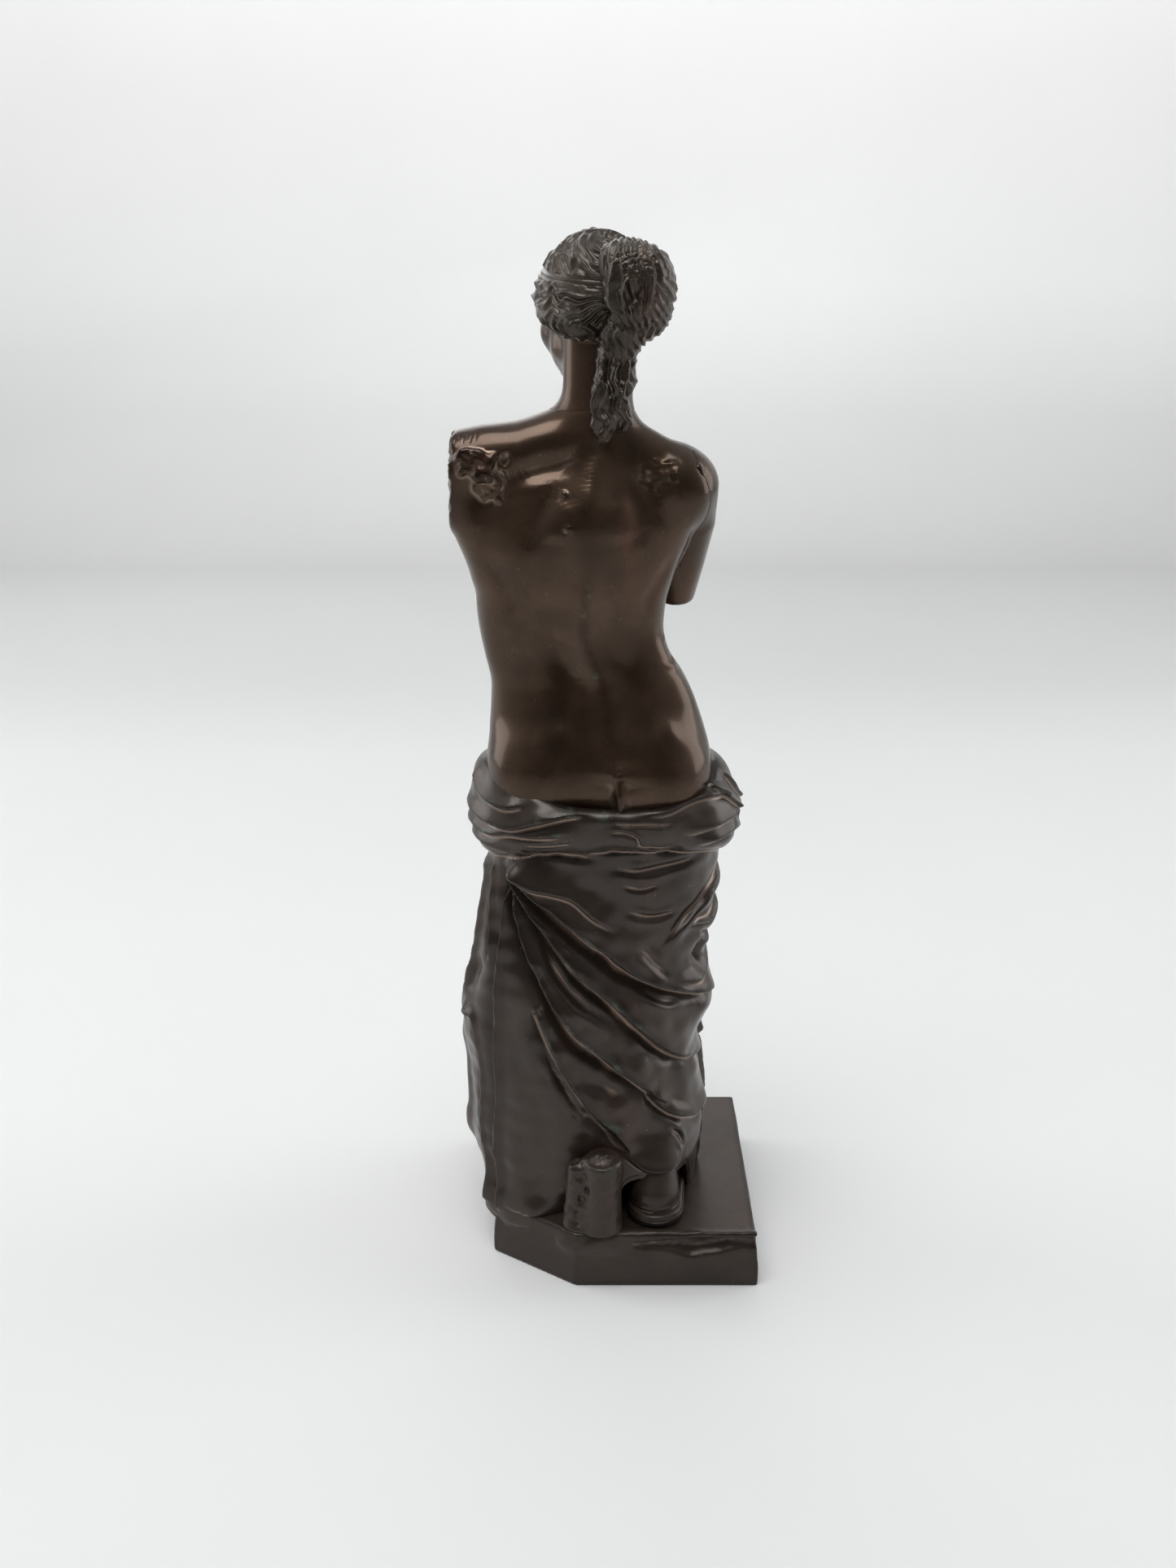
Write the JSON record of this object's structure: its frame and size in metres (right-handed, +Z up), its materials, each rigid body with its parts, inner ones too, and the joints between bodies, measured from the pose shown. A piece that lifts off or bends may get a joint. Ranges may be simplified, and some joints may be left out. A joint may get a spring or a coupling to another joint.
{
  "type": "bronze statuette",
  "caption": "Standing draped female figure with a bare torso and no arms below the elbows, cast in hollow sections and pinned together on a low hollow plinth.",
  "frame": {"origin": "under the middle of the whole piece, on the surface that the plinth stands on", "axes": "+X to the figure's own left, -Y the way it faces, +Z up"},
  "size_m": [0.0909, 0.077, 0.3],
  "materials": {
    "skin_bronze": "dark reddish-brown patina, satin, polished by handling",
    "drapery_bronze": "dark grey-brown patina, more matt, ridges worn lighter",
    "hair_bronze": "grey-brown patina with greenish hollows, chased strands worn light",
    "base_bronze": "dark brown patina, rough as cast, edges rubbed",
    "pin_brass": "dull drawn brass",
    "fixing_steel": "dull steel, lightly rusted"
  },
  "bodies": {
    "root": {"plinth": "base_bronze", "drapery": "drapery_bronze", "torso": "skin_bronze", "head": "skin_bronze", "chignon": "hair_bronze", "right_arm": "skin_bronze", "right_foot": "base_bronze", "back_post": "base_bronze", "waist_pins": "pin_brass", "neck_pin": "pin_brass", "arm_pin": "pin_brass", "chignon_rivets": "pin_brass", "base_studs": "fixing_steel", "base_washers": "fixing_steel", "base_nuts": "pin_brass", "foot_screw": "fixing_steel", "post_screw": "fixing_steel", "torso_plugs": "pin_brass", "drapery_plugs": "pin_brass"}
  },
  "joints": []
}
